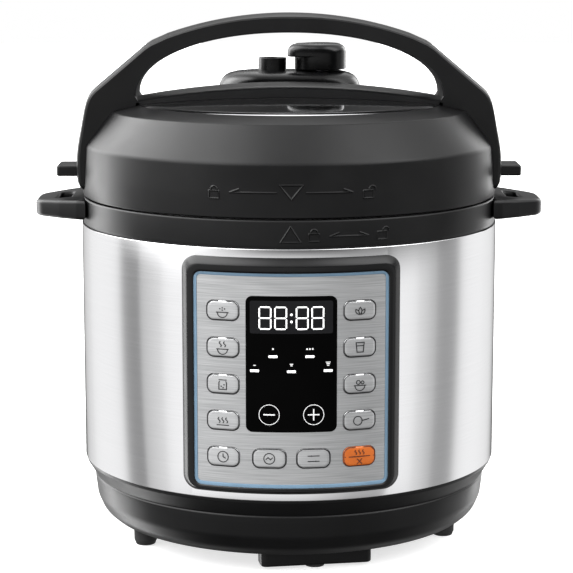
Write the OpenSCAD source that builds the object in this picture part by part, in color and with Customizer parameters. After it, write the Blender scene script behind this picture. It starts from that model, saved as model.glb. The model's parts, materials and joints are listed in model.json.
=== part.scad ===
// Electric pressure cooker. Millimetres, +Z up, floor at z = 0, pot axis on Z, control panel towards -Y.

/* [Body] */
// Outer radius of the steel shell
shell_r = 135; // [134:0.5:136]
// Height of the steel shell's lower edge above the floor
shell_z0 = 52; // [52:0.5:53]
// Height of the steel shell's upper edge
shell_z1 = 206; // [205.5:0.5:206]
// Sheet thickness of the steel shell
shell_t = 0.8; // [0.6:0.1:1]
// Wall thickness of the plastic housings
wall = 2.5; // [2:0.5:3]
// Underside of the base housing
base_z = 13; // [12.5:0.5:13]
// Distance from the axis to the tip of each ear
ear_tip = 164.3; // [160:0.1:168]
// Top of the plastic ring that carries the ears
ring_z1 = 223.3; // [222.5:0.1:223.5]

/* [Lid] */
// Lower edge of the lid cover
lid_z0 = 224.1; // [224:0.1:225]
// Radius of the lid cover at its lower edge
lid_r = 134; // [133:0.1:134.2]
// Radius of the steel disc on the lid
disc_r = 98; // [96:0.5:98]
// Height of the steel disc at its centre
disc_z = 287.5; // [287:0.5:288]
// Top of the handle arch
handle_z = 340; // [338:0.5:342]
// Half of the handle's depth from front to back
handle_half = 25; // [22:0.5:26]

/* [Control panel] */
// Half width of the panel's outer frame
bezel_half = 65.7; // [65:0.1:66]
// Lower edge of the panel's outer frame
bezel_z0 = 56.5; // [56:0.1:57]
// Upper edge of the panel's outer frame
bezel_z1 = 201; // [200:0.1:202]
// Radius of the frame's front face about the pot axis
bezel_r = 139.5; // [139:0.1:140]
// Width of a function key
key_w = 20.4; // [18:0.1:21]
// Height of a function key
key_h = 12; // [10:0.1:12.5]
// Travel of a function key
key_travel = 0.5; // [0.3:0.1:0.6]
// Angle of the outer key columns from the front
key_angle = 17.24; // [17:0.01:17.5]
// Height of the lowest key row
key_z0 = 79.4; // [79:0.1:80]
// Spacing of the key rows
key_pitch = 22.4; // [22:0.1:22.6]

/* [Inner pot] */
// Radius of the pot's outer wall
pot_r = 110.5; // [108:0.5:111]
// Underside of the pot
pot_z0 = 70; // [70:0.1:70.2]
// Upper edge of the pot's rim
pot_z1 = 218.4; // [218.2:0.1:218.6]

/* [Feet] */
// Angle of the front foot block from the front, towards +X
foot_angle = 9; // [7:0.5:11]
// Distance from the axis to each rubber foot
foot_r = 105; // [103.5:0.5:105]

/* [Hidden] */
$fn = 96;
// Overlap that joins two solids, running clearance, tight fit, depth of a cut through the front
e = 0.02;
gap = 0.3;
fit = 0.1;
through = 60;

// Shell and top ring
shell_in = shell_r - shell_t;
ring_r = 134.3;
ring_in = 128.6;
ring_lip = 2;
ear_z0 = 210.4;
ear_round = 21;
ear_neck = 120;

// Panel: frame, its opening, silver overlay, keys and display window
panel_back = 135.1;
bezel_zc = (bezel_z0 + bezel_z1) / 2;
bezel_h = bezel_z1 - bezel_z0;
open_half = 59.1;
open_z0 = 60.8;
open_z1 = 192.6;
open_zc = (open_z0 + open_z1) / 2;
open_h = open_z1 - open_z0;
trim_r = 138.7;
trim_w = 2.4;
overlay_r = 138.4;
key_r = 139.1;
key_back = 135.2;
key_corner = 4.4;
window_half = 27.3;
window_z0 = 95.6;
window_z1 = 178.5;
window_zc = (window_z0 + window_z1) / 2;
window_h = window_z1 - window_z0;
window_r = 138.6;
window_corner = 4;
adjust_x = 13.35;
adjust_z = 106.4;
adjust_r = 6.4;

// Circuit boards
board_y = 122.4;
board_t = 1.6;
board_z = 24;
board_face = board_y + board_t;
pillar_r = 3;

// Valves: pipe and float positions and the bores that pass them
pipe_x = 21.7;
float_x = -10.6;
valve_y = 55;
pipe_r = 5;
pipe_bore = 5.1;
float_r = 3.5;
float_bore = 4;

// Inner housing, heater and its sensor
housing_r = 116.5;
housing_t = 1;
housing_z = 61;
flange_z = 217;
plate_z = 65;
plate_r = 88;
terminal_x = -78;
terminal_y = 12;
sensor_hole = 17;
bracket_z = 48;
bracket_w = 28;
bracket_l = 68;
bracket_t = 2;

// Lid: pressure pan and the screws into the handle's legs
cover_z0 = 274.2;
cover_z1 = 277.2;
pan_z = 232;
pan_t = 1.2;
skirt_r = 126.4;
skirt_z = 210;
rack_r = 106.9;
screw_x = 118;
screw_y = 14;
screw_z = 262;
screw_bore = 1.9;
fin_z = 240;

// Mains inlet
inlet_y = 127;
inlet_z = 26.5;
inlet_w = 31;
inlet_h = 22;

// Condensation cup on the back
cup_y0 = 135.6;
cup_y1 = 144.2;
cup_half = 28;
cup_z0 = 150;
cup_h = 40;
cup_t = 1.2;
rail_w = 2.6;
rail_z = 147.5;

// Feet, base cover and its screws
foot_h = 2;
foot_pad_r = 7.5;
FOOT_TURNS = [-72, 65, 137, -145];
block_r = 96.5;
block_w = 70.5;
block_d = 16;
cover_r = 103.7;
cover_t = 2;
boss_r = 96;
boss_turn = 110;

// Function keys: name, angle from the front, height
KEYS = concat(
    [for (i = [0:4]) [str("key_left_", 5 - i), -key_angle, key_z0 + i * key_pitch]],
    [for (i = [0:4]) [str("key_right_", 5 - i), key_angle, key_z0 + i * key_pitch]],
    [for (i = [0:1]) [str("key_bottom_", i + 1), i == 0 ? -5.5 : 5.5, key_z0]]);
CANCEL = "key_right_5";

// ---- Outlines of the lid and the base, as radius and height ----

LID_OUT = [[lid_r, lid_z0], [133.6, 238], [132.5, 254], [131.9, 256.4], [130.6, 258.8],
           [116.7, 277], [114.9, 278.3], [disc_r + gap, 282.3]];
LID_IN = [[disc_r + gap, cover_z1], [0, cover_z1], [0, cover_z0], [113, cover_z0], [125.4, 262.5],
          [128.6, 256], [130, 238], [130.4, lid_z0]];
DISC_TOP = [[disc_r, 282], [96, 282.6], [94, 283], [90, 283.5], [75, 284.6], [60, 285.6],
            [30, 287], [12, disc_z - 0.1], [0, disc_z]];
BASE_OUT = [[134.6, 52], [134.2, 50], [128.6, 40.8], [129, 39.9], [128.8, 37], [128.2, 31],
            [127, 26], [124.8, 20.5], [121.6, 16], [117, base_z]];
BASE_IN = [[104, base_z], [104, base_z + wall], [115.5, base_z + wall], [119.6, 19],
           [122.3, 23], [124.3, 27.5], [125.3, 32], [125.8, 37], [125.8, 42.5],
           [128.2, 46.5], [131.4, 51], [131.6, 58], [shell_in - 0.1, 58],
           [shell_in - 0.1, 52]];

// ---- Shared shapes ----

module tube(r1, r0, z0, z1) {
    rotate_extrude() translate([r0, z0]) square([r1 - r0, z1 - z0]);
}

module at_front(angle, r = 0) {
    rotate(angle - 90) translate([r, 0]) children();
}

module rounded(w, h, r) {
    square([w - 2 * r, h], center = true);
    square([w, h - 2 * r], center = true);
    for (x = [-1, 1], y = [-1, 1])
        translate([x * (w / 2 - r), y * (h / 2 - r)]) circle(r, $fn = 32);
}

// A flat outline in X and Z, run along -Y through the front wall
module through_front(zc) {
    translate([0, -100, zc]) rotate([90, 0, 0]) linear_extrude(through) children();
}

// A block of a given outline, bent round the pot axis between two radii
module wrapped(r0, r1, zc, h) {
    intersection() {
        tube(r1, r0, zc - h / 2 - 1, zc + h / 2 + 1);
        through_front(zc) children();
    }
}

module stadium(x0, x1, r) {
    for (x = [x0, x1]) translate([x, 0]) circle(r);
    translate([x0, -r]) square([x1 - x0, 2 * r]);
}

module valve_holes(z0, z1) {
    translate([float_x, valve_y, z0]) cylinder(h = z1 - z0, r = float_bore);
    translate([pipe_x, valve_y, z0]) cylinder(h = z1 - z0, r = pipe_bore);
}

module lid_solid(clear) {
    rotate_extrude() polygon(concat(
        [[0, lid_z0 - 5], [lid_r + clear, lid_z0 - 5]],
        [for (p = LID_OUT) [p[0] + clear, p[1] + clear]],
        [for (p = DISC_TOP) [p[0], p[1] + clear]]));
}

function arc(r, zc, x0, x1, n) = [for (i = [0:n])
    let (x = x0 + (x1 - x0) * i / n) [x, zc + sqrt(r * r - x * x)]];

// ---- Base ----

module at_screws() {
    for (i = [0:2]) rotate(i * 120 + boss_turn) translate([boss_r, 0, 0]) children();
}

module base_housing() color("#1c1c1e") {
    difference() {
        rotate_extrude() polygon(concat(BASE_OUT, BASE_IN));
        translate([-inlet_w / 2 - 0.2, 100, inlet_z - inlet_h / 2 - 0.2])
            cube([inlet_w + 0.4, 40, inlet_h + 0.4]);
    }
    // Bosses that take the cover screws
    at_screws() translate([0, 0, base_z + cover_t]) difference() {
        translate([-4, -5, 0]) cube([20, 10, 12]);
        translate([0, 0, -e]) cylinder(h = 10, r = 1.8);
    }
}

module bottom_cover() color("#202022") {
    difference() {
        translate([0, 0, base_z]) cylinder(h = cover_t, r = cover_r);
        at_screws() translate([0, 0, base_z - e]) cylinder(h = 3, r = screw_bore);
        for (i = [0:11]) rotate(i * 30 + 15) translate([30, -2, base_z - e]) cube([28, 4, 3]);
    }
    // Pillars under the corners of the power board
    for (x = [-46, 22], y = [-58, 22])
        translate([x, y, base_z + 1]) cylinder(h = board_z - base_z - 1, r = pillar_r);
}

module bottom_screws() color("silver") at_screws() {
    translate([0, 0, base_z - 2.2]) cylinder(h = 2.2, r = 3.4);
    translate([0, 0, base_z]) cylinder(h = 9, r = 1.75);
}

module rubber_feet() color("#141414")
    for (turn = FOOT_TURNS) at_front(foot_angle + turn, foot_r) {
        cylinder(h = foot_h, r1 = foot_pad_r - 1.1, r2 = foot_pad_r);
        translate([0, 0, foot_h]) cylinder(h = base_z - foot_h, r = foot_pad_r);
    }

module front_foot() color("#18181a") at_front(foot_angle, block_r)
    translate([0, 0, foot_h]) linear_extrude(base_z - foot_h) rounded(block_d, block_w, 4);

module front_foot_pad() color("#3a3a3c") at_front(foot_angle, block_r)
    cylinder(h = foot_h, r = 6);

// ---- Body ----

module outer_shell() color("#d8d8da") difference() {
    tube(shell_r, shell_in, shell_z0, shell_z1);
    through_front(127) rounded(116, 128, 3);
    translate([0, 130, 195]) rotate([-90, 0, 0]) cylinder(h = 10, r = 3);
}

module ear() {
    ear_x = ear_tip - ear_round;
    difference() {
        translate([0, 0, ear_z0]) linear_extrude(ring_z1 - ear_z0) difference() {
            union() {
                polygon([[ear_neck, -43], [ear_x, -30], [ear_x, 30], [ear_neck, 43]]);
                translate([ear_x, -9]) square([ear_round, 18]);
                for (y = [-9, 9]) translate([ear_x, y]) circle(ear_round);
            }
            translate([146, 0]) square([8, 30], center = true);
        }
        cylinder(h = 300, r = 130);
        // The top falls a little towards the tip
        translate([133, -50, ring_z1]) rotate([0, 7.5, 0]) cube([50, 100, 10]);
    }
}

module top_ring() color("#1e1e20") {
    difference() {
        union() {
            tube(ring_r, ring_in, shell_z1, ring_z1);
            tube(ring_r, housing_r + gap, shell_z1, shell_z1 + ring_lip);
            tube(shell_in - 0.1, 131.5, shell_z1 - 6, shell_z1 + e);
            for (side = [0, 1]) mirror([side, 0, 0]) ear();
        }
        translate([0, 125, 180]) cylinder(h = 60, r = 2.5);
    }
}

module inner_housing() color("#b8b8bc") {
    difference() {
        union() {
            tube(housing_r, housing_r - housing_t, housing_z, flange_z);
            translate([0, 0, housing_z]) cylinder(h = housing_t, r = housing_r);
            tube(121, housing_r - 0.5, shell_z1 - 1.5, shell_z1);
            tube(124, housing_r - housing_t, flange_z - 3, flange_z);
            for (i = [0:2]) rotate(i * 120) translate([60, 0, housing_z])
                cylinder(h = plate_z - housing_z, r = 5);
        }
        translate([0, 0, housing_z - 1]) cylinder(h = 3, r = sensor_hole);
        for (i = [0:7]) rotate(i * 45 + 22.5) translate([121.5, -9, flange_z - 4]) cube([5, 18, 5]);
        for (y = [-terminal_y, terminal_y]) translate([terminal_x, y, housing_z - 1])
            cylinder(h = 3, r = 5);
    }
}

module heating_plate() color("#c9cacc") difference() {
    translate([0, 0, plate_z]) cylinder(h = pot_z0 - plate_z, r = plate_r);
    translate([0, 0, 60]) cylinder(h = 12, r = sensor_hole);
    for (r = [34, 52, 70]) tube(r + 1, r, pot_z0 - 0.6, pot_z0 + 1);
}

module heater_terminals() color("#d6c9a0")
    for (y = [-terminal_y, terminal_y]) translate([terminal_x, y, plate_z - 9]) {
        cylinder(h = 9, r = 3.2);
        translate([-0.4, -3, -8]) cube([0.8, 6, 8 + e]);
    }

module temperature_sensor() color("#cfcfd2") {
    translate([0, 0, 62]) cylinder(h = pot_z0 - 62.1, r = 15);
    translate([0, 0, 59.5]) cylinder(h = 2.6, r = 16.2);
    translate([0, 0, 54]) cylinder(h = 6, r = 4.5);
}

function coil_point(i, r, z0, rise, per_turn) =
    [r * cos(360 * i / per_turn), r * sin(360 * i / per_turn), z0 + rise * i / per_turn];

module coil_wire(r, wire, z0, rise, turns, per_turn, sides) {
    steps = turns * per_turn;
    rings = [for (i = [0:steps]) let (c = coil_point(i, r, z0, rise, per_turn),
                                      a = 360 * i / per_turn)
        for (j = [0:sides - 1]) let (b = 360 * j / sides)
            [c[0] + wire * cos(b) * cos(a), c[1] + wire * cos(b) * sin(a), c[2] + wire * sin(b)]];
    sides_faces = [for (i = [0:steps - 1], j = [0:sides - 1]) let (k = (j + 1) % sides)
        [i * sides + j, i * sides + k, (i + 1) * sides + k, (i + 1) * sides + j]];
    first = [for (j = [0:sides - 1]) sides - 1 - j];
    last = [for (j = [0:sides - 1]) steps * sides + j];
    polyhedron(points = rings, faces = concat([first], sides_faces, [last]));
}

module sensor_spring() color("silver")
    coil_wire(9, 0.7, 50.9, 1.9, 4, 16, 8);

module sensor_bracket() color("#a9a9ad") {
    difference() {
        translate([-bracket_w / 2, -bracket_l / 2, bracket_z])
            cube([bracket_w, bracket_l, bracket_t]);
        translate([0, 0, bracket_z - 1]) cylinder(h = bracket_t + 2, r = 6);
    }
    for (y = [-bracket_l / 2, bracket_l / 2 - bracket_t])
        translate([-bracket_w / 2, y, bracket_z + bracket_t - e])
            cube([bracket_w, bracket_t, housing_z - bracket_z - bracket_t + e]);
}

module thermal_fuse() color("#8d8d90") {
    translate([-20, 58, 56]) rotate([0, 90, 0]) cylinder(h = 26, r = 3.6);
    translate([-24, 52, 59.2]) cube([34, 12, 1.8]);
}

module power_board() color("#2f6b3c") translate([-50, -62, board_z]) cube([76, 88, board_t]);

module board_components() color("#3b3b40") translate([0, 0, board_z + board_t]) {
    translate([-46, -56, 0]) cube([22, 26, 17]);
    translate([-18, -56, 0]) cube([18, 16, 14]);
    translate([8, -50, 0]) cylinder(h = 16, r = 6);
    translate([8, -34, 0]) cylinder(h = 16, r = 6);
    translate([-46, -22, 0]) cube([9, 30, 12]);
    translate([-30, -20, 0]) cube([20, 10, 10]);
    translate([-4, -16, 0]) cube([24, 3, 15]);
    translate([4, 4, 0]) cube([16, 12, 8]);
}

module pins() {
    for (x = [-7, 7]) translate([x - 1, 98, inlet_z - 4]) cube([2, 24, 4]);
    translate([-1, 98, inlet_z + 2]) cube([2, 24, 4]);
}

module power_inlet() color("#161618") difference() {
    translate([-inlet_w / 2, 106, inlet_z - inlet_h / 2]) cube([inlet_w, inlet_y - 106, inlet_h]);
    translate([3 - inlet_w / 2, 110, inlet_z - inlet_h / 2 + 2.5])
        cube([inlet_w - 6, 20, inlet_h - 5]);
    pins();
}

module inlet_pins() color("#c9b98a") pins();

module wire_harness() color("#7a1f1f") {
    for (i = [0:2]) translate([0, 0, 30 + 3 * i])
        rotate(40 + i) rotate_extrude(angle = 90) translate([88 + 3 * i, 0]) circle(1.3, $fn = 16);
    translate([0, 0, 45]) rotate(170) rotate_extrude(angle = 85)
        translate([100, 0]) circle(1.5, $fn = 16);
}

// ---- Control panel ----

module control_board() color("#2f6b3c")
    translate([-48, -board_face, 66]) cube([96, board_t, 124]);

module tact_switches() color("#2a2a2c") {
    for (k = KEYS) at_front(k[1]) translate([0, 0, k[2]]) {
        reach = key_back - key_travel - 0.5;
        start = board_face / cos(k[1]) + 1;
        translate([start, -3, -3]) cube([reach - start - 1, 6, 6]);
        translate([reach - 1.2, 0, 0]) rotate([0, 90, 0]) cylinder(h = 1.2, r = 1.8);
    }
    for (x = [-adjust_x, adjust_x]) translate([x, -board_face, adjust_z])
        rotate([90, 0, 0]) cylinder(h = 133.2 - board_face, r = 2.5);
}

module display_module() color("#0d0d0e")
    translate([-25, -132.4, 155]) cube([50, 132.4 - board_face, 21]);

module panel_bezel() color("#1b1b1d") difference() {
    union() {
        wrapped(panel_back, 136.3, bezel_zc, bezel_h) rounded(2 * bezel_half, bezel_h, 9);
        wrapped(136.2, 138, bezel_zc, bezel_h)
            rounded(2 * bezel_half - 2.2, bezel_h - 2.2, 8);
        wrapped(137.9, bezel_r, bezel_zc, bezel_h)
            rounded(2 * bezel_half - 5, bezel_h - 5, 7);
    }
    through_front(open_zc) panel_outline(0);
}

// The frame's opening, drawn in by an inset on every side
module panel_outline(inset) {
    rounded(2 * (open_half - inset), open_h - 2 * inset, 4.5 - 0.8 * inset);
}

module panel_trim() color("#7fa3c4") difference() {
    wrapped(panel_back, trim_r, open_zc, open_h) panel_outline(fit / 2);
    through_front(open_zc) panel_outline(trim_w);
}

module panel_overlay() color("#c3c4c6") difference() {
    wrapped(panel_back, overlay_r, open_zc, open_h) panel_outline(trim_w + fit / 2);
    through_front(window_zc)
        rounded(2 * window_half + fit, window_h + fit, window_corner);
    for (k = KEYS) key_stem(k) rounded(key_w + 2 * gap, key_h + 2 * gap, key_corner + gap);
}

module display_window() color("#08080a") difference() {
    wrapped(panel_back, window_r, window_zc, window_h)
        rounded(2 * window_half, window_h, window_corner);
    for (x = [-adjust_x, adjust_x]) translate([x, -120, adjust_z])
        rotate([90, 0, 0]) cylinder(h = 30, r = adjust_r + gap);
}

// A flat outline pushed outward through the panel where a key sits
module key_stem(k) {
    at_front(k[1], 130) translate([0, 0, k[2]]) rotate([90, 0, 90]) linear_extrude(15) children();
}

module panel_key(k) {
    color(k[0] == CANCEL ? "#e07b28" : "#c8c9cb") intersection() {
        tube(key_r, key_back, k[2] - key_h, k[2] + key_h);
        key_stem(k) rounded(key_w, key_h, key_corner);
    }
}

module adjust_key(x) color("#0b0b0d") intersection() {
    translate([x, -134.2, adjust_z]) rotate([90, 0, 0]) cylinder(h = 8, r = adjust_r);
    tube(window_r, 120, adjust_z - 10, adjust_z + 10, $fn = 360);
}
module key_minus() adjust_key(-adjust_x);
module key_plus() adjust_key(adjust_x);

// ---- Pot and lid ----

module inner_pot() color("#cdced0") rotate_extrude() polygon([
    [0, pot_z0], [98, pot_z0], [104, pot_z0 + 1.6], [108.7, pot_z0 + 6.2], [pot_r, pot_z0 + 13],
    [pot_r, pot_z1 - 1.1], [119.5, pot_z1 - 1.1], [119.5, pot_z1], [pot_r - 1, pot_z1],
    [pot_r - 1, pot_z0 + 13.3], [107.8, pot_z0 + 7], [103.4, pot_z0 + 2.6],
    [97.8, pot_z0 + 1.2], [0, pot_z0 + 1.2]]);

module lid_cover() color("#1f1f21") difference() {
    rotate_extrude() polygon(concat(LID_OUT, LID_IN));
    valve_holes(270, 280);
    at_lid_screws() translate([0, 0, screw_z]) cylinder(h = 20, r = screw_bore);
}

module at_lid_screws() {
    for (x = [-screw_x, screw_x], y = [-screw_y, screw_y]) translate([x, y, 0]) children();
}

module lid_disc() color("#d0d1d3") difference() {
    rotate_extrude() polygon(concat(DISC_TOP, [[0, disc_z - 1.2], [60, 284.4], [90, 282.3],
        [94, 281.8], [96.8, 281], [96.8, 277.3], [disc_r, 277.3]]));
    valve_holes(270, 290);
}

module lid_pan() color("#c4c5c8") difference() {
    union() {
        translate([0, 0, pan_z]) cylinder(h = pan_t, r = skirt_r);
        tube(skirt_r, skirt_r - pan_t, skirt_z, pan_z + 1);
        for (i = [0:3]) rotate(i * 90 + 20) translate([rack_r, 0, pan_z - 2.9])
            cylinder(h = 3, r = 1.5);
        // Lugs that turn under the ring's flange, and posts up to the cover
        for (i = [0:7]) rotate(i * 45) translate([124.5, -8, skirt_z]) cube([1.4, 16, 1.5]);
        for (i = [0:5]) rotate(i * 60 + 25) translate([60, 0, pan_z])
            cylinder(h = cover_z0 - pan_z, r = 5);
    }
    valve_holes(220, 240);
}

module sealing_ring() color("#d9d7d0") rotate_extrude() polygon([
    [110, 222.5], [110, 231.8], [119.5, 231.8], [119.5, 222.5],
    [117.5, 218.8], [112, 218.8]]);

module sealing_ring_rack() color("silver") {
    rotate_extrude() translate([rack_r, pan_z - 4.2]) circle(1.2, $fn = 24);
}

// Half of the handle's outline, from the crown down the outside of a leg
HANDLE_SIDE = concat(
    arc(242, handle_z - 242, 0, 86, 10),
    [[88.9, 323.1], [127, 291], [129.6, 287], [132.3, 279.4], [133.8, 271.6],
     [135.9, 259.9], [137.6, 250], [137.8, 243.8], [149, 243.8], [150.5, 242.4],
     [150.5, 238.4], [149, 237], [137.8, 237], [137.8, 234], [135.9, 228.6], [133.5, 226]]);
opening_a = 97.6;
opening_b = 41.1;
opening_z = 286.5;
HANDLE_OPENING = [for (i = [0:20]) let (t = i * 4.5)
    [opening_a * pow(cos(t), 0.94), opening_z + opening_b * pow(sin(t), 0.94)]];

module handle() color("#1b1b1d") difference() {
    for (side = [0, 1]) mirror([side, 0, 0]) {
        rotate([90, 0, 0]) translate([0, 0, -handle_half])
            linear_extrude(2 * handle_half)
                polygon(concat(HANDLE_SIDE, [[100, 226], [98.2, opening_z]], HANDLE_OPENING));
    }
    lid_solid(0.05);
    // The fins are narrower than the legs
    for (x = [-1, 1], y = [-1, 1])
        translate([x * 147.95, y * 24.5, fin_z]) cube([20, 20, 12], center = true);
    at_lid_screws() translate([0, 0, screw_z]) cylinder(h = 24, r = screw_bore);
}

module handle_strap() color("#232325") difference() {
    rotate([90, 0, 0]) translate([0, 0, -handle_half]) linear_extrude(2 * handle_half)
        polygon(concat(arc(557, 294.6 - 557, -98, 98, 24), [[98, 277], [-98, 277]]));
    lid_solid(0.05);
}

module handle_screws() color("silver") at_lid_screws() {
    translate([0, 0, screw_z]) cylinder(h = 2, r = 3.4);
    translate([0, 0, screw_z + 2 - e]) cylinder(h = 20, r = screw_bore - 0.1);
}

module valve_platform() color("#222224") difference() {
    translate([0, valve_y + 1, 0]) {
        translate([0, 0, 278]) linear_extrude(16) stadium(-18, 20, 29);
        translate([0, 0, 294 - e]) linear_extrude(3.5) stadium(-18, 20, 27);
        translate([0, 0, 297.4]) linear_extrude(2.6) stadium(-18, 20, 23);
    }
    lid_solid(0.05);
    valve_holes(270, 310);
}

module float_guard() color("#161618") translate([float_x, valve_y, 300])
    difference() {
        cylinder(h = 8, r = 9.5);
        translate([0, 0, -e]) cylinder(h = 9, r = 7.2);
    }

module float_valve() color("#b03030") translate([float_x, valve_y, 0]) {
    translate([0, 0, 226.6]) cylinder(h = 74, r = float_r);
    translate([0, 0, 300.3]) cylinder(h = 1.7, r = 6.2);
}

module float_seal() color("#c8c6bf") translate([float_x, valve_y, 0]) {
    translate([0, 0, 220]) cylinder(h = 3, r = 6);
    translate([0, 0, 223 - e]) cylinder(h = 3.6 + e, r = 4.6);
}

module release_knob() color("#1a1a1c") translate([pipe_x, valve_y, 0]) difference() {
    union() {
        translate([0, 0, 300.4]) cylinder(h = 10, r = 17.3);
        translate([0, 0, 309]) linear_extrude(8.8) {
            circle(17.3);
            translate([-15, -6]) circle(8);
            polygon([[-2.5, 17.1], [-17.2, 1.7], [-17.2, -13.7], [-5, -16.5], [5, -10], [5, 10]]);
        }
    }
    translate([0, 0, 300]) cylinder(h = 12, r = 5.08);
}

module release_pipe() color("#c2c3c6") translate([pipe_x, valve_y, 0]) difference() {
    union() {
        translate([0, 0, 229]) cylinder(h = 78, r = pipe_r);
        translate([0, 0, 229]) cylinder(h = 2.8, r = 8.5);
    }
    translate([0, 0, 228]) cylinder(h = 80, r = 2);
}

module filter_cap() color("silver") translate([pipe_x, valve_y, 0]) difference() {
    translate([0, 0, 219]) cylinder(h = 10, r = 12);
    translate([0, 0, 220]) cylinder(h = 10, r = 11);
    for (i = [0:11]) rotate(i * 30) translate([8, -1, 221.5]) cube([6, 2, 5]);
}

// ---- Condensation cup ----

module condensation_cup() color("#cfd6da") difference() {
    translate([-cup_half, cup_y0, cup_z0]) cube([2 * cup_half, cup_y1 - cup_y0, cup_h]);
    translate([cup_t - cup_half, cup_y0 + cup_t, cup_z0 + cup_t])
        cube([2 * (cup_half - cup_t), cup_y1 - cup_y0 - 2 * cup_t, cup_h]);
}

module cup_bracket() color("#1e1e20") difference() {
    union() {
        for (x = [-cup_half - 3, cup_half + 0.4]) translate([x, 130, rail_z])
            cube([rail_w, cup_y1 - 130.1, 48]);
        translate([-cup_half - 3, 130, rail_z]) cube([2 * cup_half + 6, cup_y1 - 130.1, 2.1]);
    }
    translate([0, 0, 100]) cylinder(h = 200, r = shell_r + 0.1);
}

base_housing();
bottom_cover();
bottom_screws();
rubber_feet();
front_foot();
front_foot_pad();
outer_shell();
top_ring();
inner_housing();
heating_plate();
heater_terminals();
temperature_sensor();
sensor_spring();
sensor_bracket();
thermal_fuse();
power_board();
board_components();
power_inlet();
inlet_pins();
wire_harness();
control_board();
tact_switches();
display_module();
panel_bezel();
panel_trim();
panel_overlay();
display_window();
for (k = KEYS) panel_key(k);
key_minus();
key_plus();
inner_pot();
lid_cover();
lid_disc();
lid_pan();
sealing_ring();
sealing_ring_rack();
handle();
handle_strap();
handle_screws();
valve_platform();
float_guard();
float_valve();
float_seal();
release_knob();
release_pipe();
filter_cap();
condensation_cup();
cup_bracket();
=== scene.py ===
"""Looks of an electric pressure cooker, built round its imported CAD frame.

Sizes are in millimetres and turned into metres when a mesh is made. +Z is up, and the control
panel faces -Y.
"""

import math

import bmesh
import bpy
from mathutils import Matrix, Vector
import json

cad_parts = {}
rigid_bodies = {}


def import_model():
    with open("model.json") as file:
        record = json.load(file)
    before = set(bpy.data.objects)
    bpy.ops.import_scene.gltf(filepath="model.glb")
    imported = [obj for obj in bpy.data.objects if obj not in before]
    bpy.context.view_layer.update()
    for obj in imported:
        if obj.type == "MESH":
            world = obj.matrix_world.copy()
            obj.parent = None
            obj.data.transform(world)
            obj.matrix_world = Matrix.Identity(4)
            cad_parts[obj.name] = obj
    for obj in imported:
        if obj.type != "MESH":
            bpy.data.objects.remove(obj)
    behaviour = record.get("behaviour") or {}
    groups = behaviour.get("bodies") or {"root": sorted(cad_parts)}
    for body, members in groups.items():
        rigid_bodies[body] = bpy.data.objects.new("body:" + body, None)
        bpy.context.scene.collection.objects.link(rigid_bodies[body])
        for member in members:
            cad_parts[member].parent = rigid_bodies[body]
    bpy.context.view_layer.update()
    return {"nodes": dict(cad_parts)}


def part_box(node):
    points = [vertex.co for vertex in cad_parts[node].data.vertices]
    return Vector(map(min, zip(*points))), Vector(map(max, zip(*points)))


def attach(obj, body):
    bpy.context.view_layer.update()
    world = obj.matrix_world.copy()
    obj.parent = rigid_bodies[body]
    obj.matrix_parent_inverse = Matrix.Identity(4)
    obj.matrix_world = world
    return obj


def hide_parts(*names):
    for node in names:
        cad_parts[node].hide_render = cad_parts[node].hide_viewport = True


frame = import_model()
nodes = frame["nodes"]
MM = 0.001


def size_of(node):
    """A CAD node's lowest and highest corner, in millimetres."""
    low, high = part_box(node)
    return [c / MM for c in low], [c / MM for c in high]


# ---- Driving sizes, from the frame ----

shell_low, shell_high = size_of("outer_shell")
ring_high = size_of("top_ring")[1]
cover_low = size_of("lid_cover")[0]
disc_high = size_of("lid_disc")[1]
handle_high = size_of("handle")[1]
bezel_low, bezel_high = size_of("panel_bezel")
window_low, window_high = size_of("display_window")
guard_low, guard_high = size_of("float_guard")
knob_low, knob_high = size_of("release_knob")
base_low = size_of("base_housing")[0]
platform_low, platform_high = size_of("valve_platform")
plus_low, plus_high = size_of("key_plus")
pipe_low, pipe_high = size_of("release_pipe")

SHELL_R = shell_high[0]
BEZEL_R = -bezel_low[1]
WINDOW_R = -window_low[1]
HANDLE_HALF = handle_high[1]
FLOAT_X = (guard_low[0] + guard_high[0]) / 2
VALVE_Y = (guard_low[1] + guard_high[1]) / 2
PIPE_X = (pipe_low[0] + pipe_high[0]) / 2
ADJUST_X = (plus_low[0] + plus_high[0]) / 2
ADJUST_Z = (plus_low[2] + plus_high[2]) / 2

# ---- Sizes that the looks add ----

RING_R = 134.3
# The bores in the lid for the float and the release pipe
FLOAT_HOLE_R = 4.05
PIPE_HOLE_R = 5.2
# Half the width, the lower edge and the upper edge of the shell's opening behind the panel
OPENING_HALF, OPENING_LOW, OPENING_HIGH = 58, 63, 191
# The rubber feet: distance from the pot axis, and turns from the front block in degrees
FOOT_R = 105
FOOT_TURNS = (-72, 65, 137, -145)
# Minus and plus keys: their own radius, the hole round them, and how far back they reach
ADJUST_KEY_R, ADJUST_HOLE_R, ADJUST_BACK_R = 6.4, 6.7, 134.9
# Function keys: half width, radius of the front face, and angles off the front in degrees
KEY_HALF, KEY_FRONT_R = 10.2, 139.1
KEY_COLUMN_TURN, KEY_ROW_TURN = 17.24, 5.5
# Printed and lit lines: widths and heights
OUTLINE_WIDTH, SYMBOL_WIDTH, DIGIT_WIDTH = 0.5, 0.55, 0.82
INK_HIGH, ADJUST_INK_HIGH = 0.05, 0.06
# Moulded marks: half width and height of a ridge
RIDGE_HALF, RIDGE_HIGH = 0.65, 0.55
# Knob: radius of the head, length of its nose, and the ways of the nose and the slot in degrees
KNOB_R, NOSE, NOSE_TURN, SLOT_TURN = 17.3, 6.2, 203, 24
# How many pieces a long straight run on the drum is split into
LONG_RUN = 24


# ---- Materials ----


def new_material(name):
    mat = bpy.data.materials.new(name)
    mat.use_nodes = True
    tree = mat.node_tree
    return mat, tree, tree.nodes["Principled BSDF"]


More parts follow.
